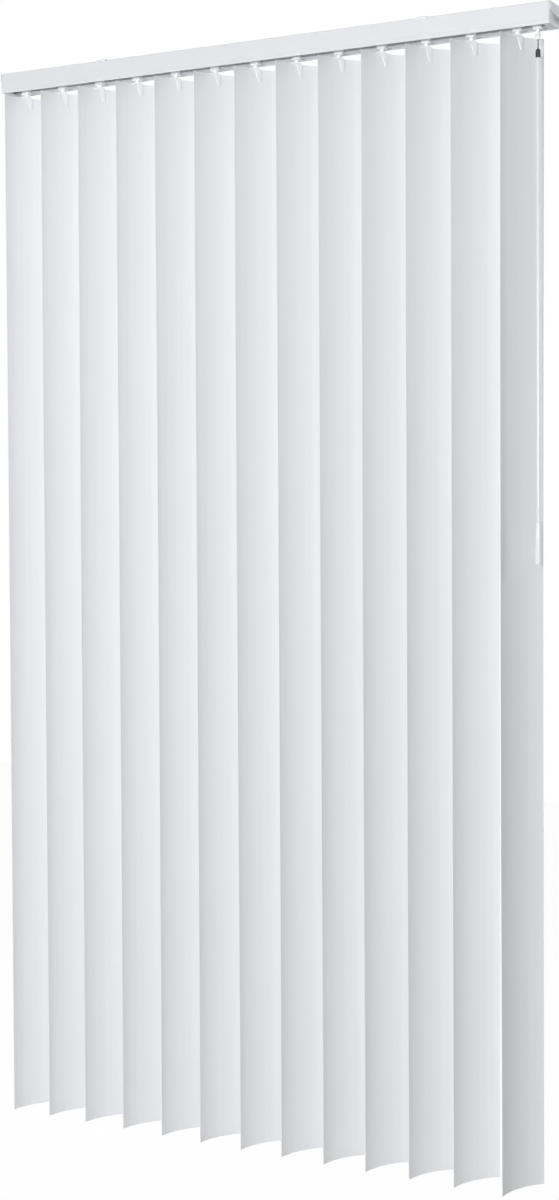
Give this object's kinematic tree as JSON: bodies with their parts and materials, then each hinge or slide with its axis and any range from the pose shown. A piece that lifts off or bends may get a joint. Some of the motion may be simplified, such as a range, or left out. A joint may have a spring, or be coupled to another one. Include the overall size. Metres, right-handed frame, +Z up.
{
  "type": "vertical blind",
  "caption": "White vertical blind: ceiling headrail with rigid curved vanes that turn together and draw aside, worked by a hanging wand.",
  "frame": {"origin": "on the ceiling plane, midway between the two bracket screws", "axes": "+X along the rail to the wand end, -Y to the room, +Z up"},
  "size_m": [1, 0.0807, 1.8014],
  "materials": {
    "rail": "satin white paint on drawn aluminium",
    "caps": "moulded white plastic",
    "brackets": "white coated sheet steel",
    "carriers": "moulded white acetal",
    "vanes": "white rigid PVC with a fine grain",
    "rod": "plain drawn aluminium",
    "wand": "white gloss plastic",
    "hook": "black plastic"
  },
  "bodies": {
    "headrail": {"headrail": "rail", "end_cap_left": "caps", "end_cap_right": "caps", "bracket_left": "brackets", "bracket_right": "brackets", "carrier_01": "carriers"},
    "tilt_rod": {"tilt_rod": "rod"},
    "carrier_02": {"carrier_02": "carriers"},
    "carrier_03": {"carrier_03": "carriers"},
    "carrier_04": {"carrier_04": "carriers"},
    "carrier_05": {"carrier_05": "carriers"},
    "carrier_06": {"carrier_06": "carriers"},
    "carrier_07": {"carrier_07": "carriers"},
    "carrier_08": {"carrier_08": "carriers"},
    "carrier_09": {"carrier_09": "carriers"},
    "carrier_10": {"carrier_10": "carriers"},
    "carrier_11": {"carrier_11": "carriers"},
    "carrier_12": {"carrier_12": "carriers"},
    "lead_carrier": {"carrier_13": "carriers", "tilter": "carriers"},
    "vane_01": {"vane_01": "vanes", "hanger_01": "carriers"},
    "vane_02": {"vane_02": "vanes", "hanger_02": "carriers"},
    "vane_03": {"vane_03": "vanes", "hanger_03": "carriers"},
    "vane_04": {"vane_04": "vanes", "hanger_04": "carriers"},
    "vane_05": {"vane_05": "vanes", "hanger_05": "carriers"},
    "vane_06": {"vane_06": "vanes", "hanger_06": "carriers"},
    "vane_07": {"vane_07": "vanes", "hanger_07": "carriers"},
    "vane_08": {"vane_08": "vanes", "hanger_08": "carriers"},
    "vane_09": {"vane_09": "vanes", "hanger_09": "carriers"},
    "vane_10": {"vane_10": "vanes", "hanger_10": "carriers"},
    "vane_11": {"vane_11": "vanes", "hanger_11": "carriers"},
    "vane_12": {"vane_12": "vanes", "hanger_12": "carriers"},
    "vane_13": {"vane_13": "vanes", "hanger_13": "carriers"},
    "swivel": {"wand_swivel": "carriers"},
    "wand": {"wand_stem": "wand", "wand_hook": "hook", "wand_ferrule": "hook", "wand_rod": "wand", "wand_handle": "wand"}
  },
  "joints": [
    {"name": "draw", "type": "slide", "parent": "headrail", "child": "lead_carrier", "axis": [-1, 0, 0], "range_m": [0, 0.698]},
    {"name": "draw_02", "type": "slide", "parent": "headrail", "child": "carrier_02", "axis": [-1, 0, 0], "range_m": [0, 0.0592]},
    {"name": "draw_03", "type": "slide", "parent": "headrail", "child": "carrier_03", "axis": [-1, 0, 0], "range_m": [0, 0.1182]},
    {"name": "draw_04", "type": "slide", "parent": "headrail", "child": "carrier_04", "axis": [-1, 0, 0], "range_m": [0, 0.1772]},
    {"name": "draw_05", "type": "slide", "parent": "headrail", "child": "carrier_05", "axis": [-1, 0, 0], "range_m": [0, 0.2362]},
    {"name": "draw_06", "type": "slide", "parent": "headrail", "child": "carrier_06", "axis": [-1, 0, 0], "range_m": [0, 0.2952]},
    {"name": "draw_07", "type": "slide", "parent": "headrail", "child": "carrier_07", "axis": [-1, 0, 0], "range_m": [0, 0.3542]},
    {"name": "draw_08", "type": "slide", "parent": "headrail", "child": "carrier_08", "axis": [-1, 0, 0], "range_m": [0, 0.4132]},
    {"name": "draw_09", "type": "slide", "parent": "headrail", "child": "carrier_09", "axis": [-1, 0, 0], "range_m": [0, 0.4722]},
    {"name": "draw_10", "type": "slide", "parent": "headrail", "child": "carrier_10", "axis": [-1, 0, 0], "range_m": [0, 0.5312]},
    {"name": "draw_11", "type": "slide", "parent": "headrail", "child": "carrier_11", "axis": [-1, 0, 0], "range_m": [0, 0.5902]},
    {"name": "draw_12", "type": "slide", "parent": "headrail", "child": "carrier_12", "axis": [-1, 0, 0], "range_m": [0, 0.6492]},
    {"name": "tilt", "type": "hinge", "parent": "headrail", "child": "vane_01", "pos_m": [-0.46, 0, -0.05], "axis": [0, 0, 1], "range_deg": [-29, 90]},
    {"name": "tilt_02", "type": "hinge", "parent": "carrier_02", "child": "vane_02", "pos_m": [-0.385, 0, -0.05], "axis": [0, 0, 1], "range_deg": [-29, 90]},
    {"name": "tilt_03", "type": "hinge", "parent": "carrier_03", "child": "vane_03", "pos_m": [-0.31, 0, -0.05], "axis": [0, 0, 1], "range_deg": [-29, 90]},
    {"name": "tilt_04", "type": "hinge", "parent": "carrier_04", "child": "vane_04", "pos_m": [-0.235, 0, -0.05], "axis": [0, 0, 1], "range_deg": [-29, 90]},
    {"name": "tilt_05", "type": "hinge", "parent": "carrier_05", "child": "vane_05", "pos_m": [-0.16, 0, -0.05], "axis": [0, 0, 1], "range_deg": [-29, 90]},
    {"name": "tilt_06", "type": "hinge", "parent": "carrier_06", "child": "vane_06", "pos_m": [-0.085, 0, -0.05], "axis": [0, 0, 1], "range_deg": [-29, 90]},
    {"name": "tilt_07", "type": "hinge", "parent": "carrier_07", "child": "vane_07", "pos_m": [-0.01, 0, -0.05], "axis": [0, 0, 1], "range_deg": [-29, 90]},
    {"name": "tilt_08", "type": "hinge", "parent": "carrier_08", "child": "vane_08", "pos_m": [0.065, 0, -0.05], "axis": [0, 0, 1], "range_deg": [-29, 90]},
    {"name": "tilt_09", "type": "hinge", "parent": "carrier_09", "child": "vane_09", "pos_m": [0.14, 0, -0.05], "axis": [0, 0, 1], "range_deg": [-29, 90]},
    {"name": "tilt_10", "type": "hinge", "parent": "carrier_10", "child": "vane_10", "pos_m": [0.215, 0, -0.05], "axis": [0, 0, 1], "range_deg": [-29, 90]},
    {"name": "tilt_11", "type": "hinge", "parent": "carrier_11", "child": "vane_11", "pos_m": [0.29, 0, -0.05], "axis": [0, 0, 1], "range_deg": [-29, 90]},
    {"name": "tilt_12", "type": "hinge", "parent": "carrier_12", "child": "vane_12", "pos_m": [0.365, 0, -0.05], "axis": [0, 0, 1], "range_deg": [-29, 90]},
    {"name": "tilt_13", "type": "hinge", "parent": "lead_carrier", "child": "vane_13", "pos_m": [0.44, 0, -0.05], "axis": [0, 0, 1], "range_deg": [-29, 90]},
    {"name": "rod_turn", "type": "hinge", "parent": "headrail", "child": "tilt_rod", "pos_m": [0, 0.0102, -0.0169], "axis": [1, 0, 0], "range_deg": [-175, 541]},
    {"name": "wand_swing", "type": "hinge", "parent": "lead_carrier", "child": "swivel", "pos_m": [0.472, 0, -0.0394], "axis": [0, -1, 0], "range_deg": [0, 30]},
    {"name": "wand_turn", "type": "hinge", "parent": "swivel", "child": "wand", "pos_m": [0.472, 0, -0.1], "axis": [0, 0, 1], "range_deg": [-175, 541]}
  ],
  "couplings": [
    {"joint": "draw_02", "follows": "draw", "ratio": 0.084527},
    {"joint": "draw_03", "follows": "draw", "ratio": 0.16905},
    {"joint": "draw_04", "follows": "draw", "ratio": 0.25358},
    {"joint": "draw_05", "follows": "draw", "ratio": 0.33811},
    {"joint": "draw_06", "follows": "draw", "ratio": 0.42264},
    {"joint": "draw_07", "follows": "draw", "ratio": 0.50716},
    {"joint": "draw_08", "follows": "draw", "ratio": 0.59169},
    {"joint": "draw_09", "follows": "draw", "ratio": 0.67622},
    {"joint": "draw_10", "follows": "draw", "ratio": 0.76074},
    {"joint": "draw_11", "follows": "draw", "ratio": 0.84527},
    {"joint": "draw_12", "follows": "draw", "ratio": 0.9298},
    {"joint": "tilt_02", "follows": "tilt", "ratio": 1},
    {"joint": "tilt_03", "follows": "tilt", "ratio": 1},
    {"joint": "tilt_04", "follows": "tilt", "ratio": 1},
    {"joint": "tilt_05", "follows": "tilt", "ratio": 1},
    {"joint": "tilt_06", "follows": "tilt", "ratio": 1},
    {"joint": "tilt_07", "follows": "tilt", "ratio": 1},
    {"joint": "tilt_08", "follows": "tilt", "ratio": 1},
    {"joint": "tilt_09", "follows": "tilt", "ratio": 1},
    {"joint": "tilt_10", "follows": "tilt", "ratio": 1},
    {"joint": "tilt_11", "follows": "tilt", "ratio": 1},
    {"joint": "tilt_12", "follows": "tilt", "ratio": 1},
    {"joint": "tilt_13", "follows": "tilt", "ratio": 1},
    {"joint": "rod_turn", "follows": "tilt", "ratio": 6},
    {"joint": "wand_turn", "follows": "tilt", "ratio": 6}
  ]
}
